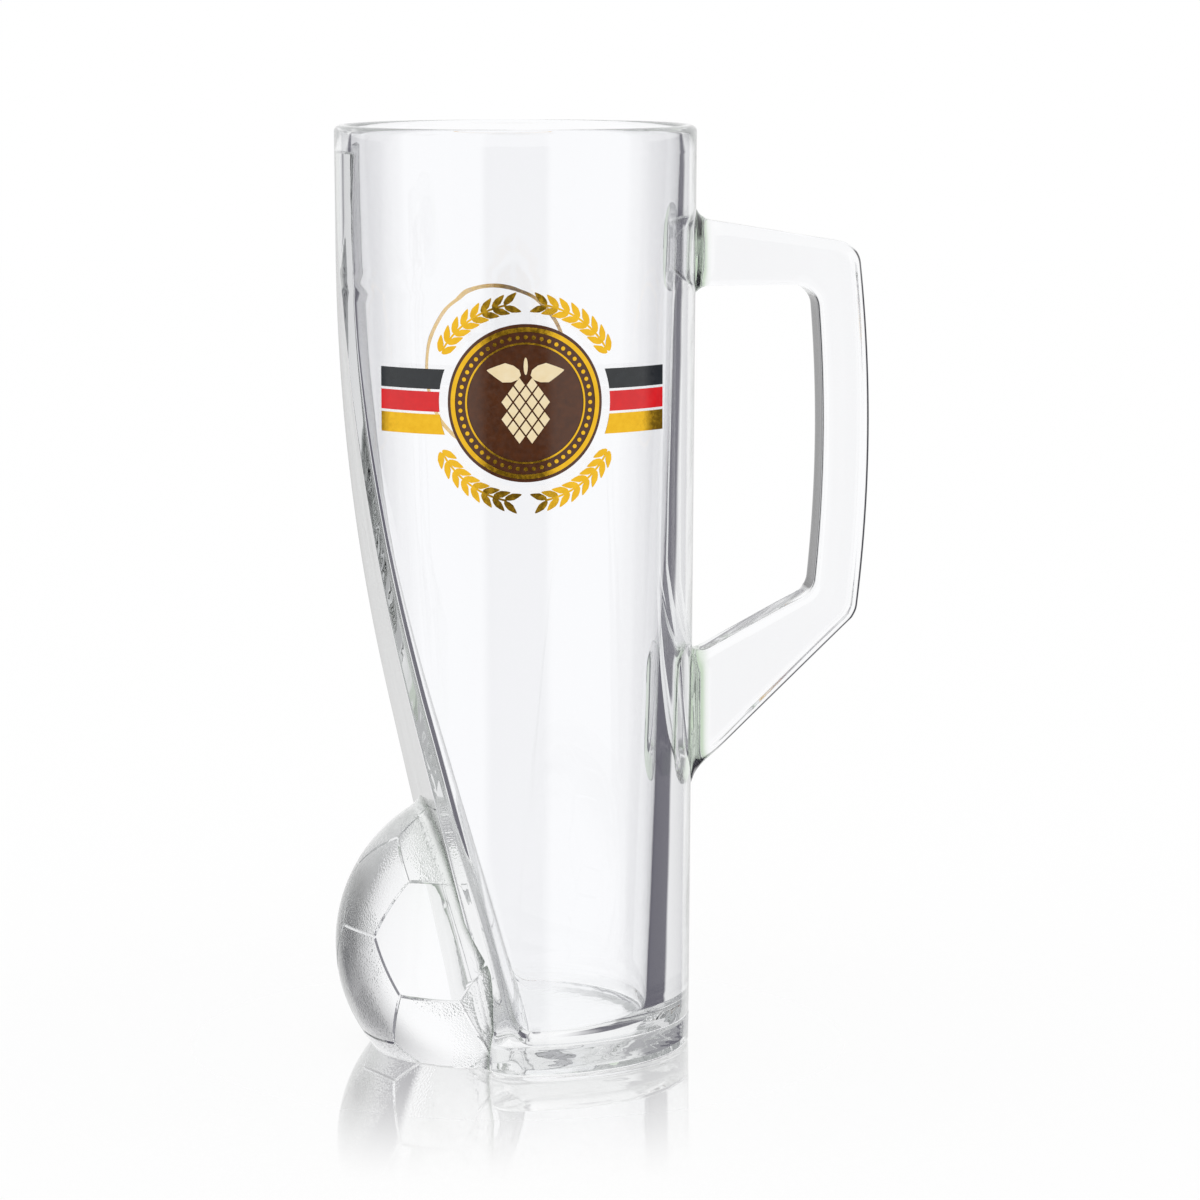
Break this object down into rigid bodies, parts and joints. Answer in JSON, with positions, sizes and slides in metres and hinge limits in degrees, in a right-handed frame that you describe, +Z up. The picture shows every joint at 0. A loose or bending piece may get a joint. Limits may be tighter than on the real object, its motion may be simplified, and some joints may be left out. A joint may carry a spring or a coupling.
{
  "type": "beer mug",
  "caption": "Tall clear-glass beer mug with an angular side handle, a side swept flat into a solid half football at the foot, and a printed badge on a striped belt.",
  "frame": {"origin": "middle of the bounding box in X and Y, on the plane the mug stands on", "axes": "+Z up along the bowl's axis, +X towards the handle, -X towards the football, -Y towards the printed front"},
  "size_m": [0.1213, 0.0814, 0.2076],
  "materials": {
    "glass": "clear, fire polished",
    "brown_enamel": "glossy fired enamel",
    "black_enamel": "glossy fired enamel",
    "red_enamel": "glossy fired enamel",
    "gold_lustre": "burnished gold lustre"
  },
  "bodies": {
    "root": {"bowl": "glass", "rim_band": "glass", "foot": "glass", "handle": "glass", "football": "glass", "badge_print": "brown_enamel", "black_stripe_left": "black_enamel", "black_stripe_right": "black_enamel", "red_stripe_left": "red_enamel", "red_stripe_right": "red_enamel", "gold_stripe_left": "gold_lustre", "gold_stripe_right": "gold_lustre", "back_ring_print": "gold_lustre"}
  },
  "joints": []
}
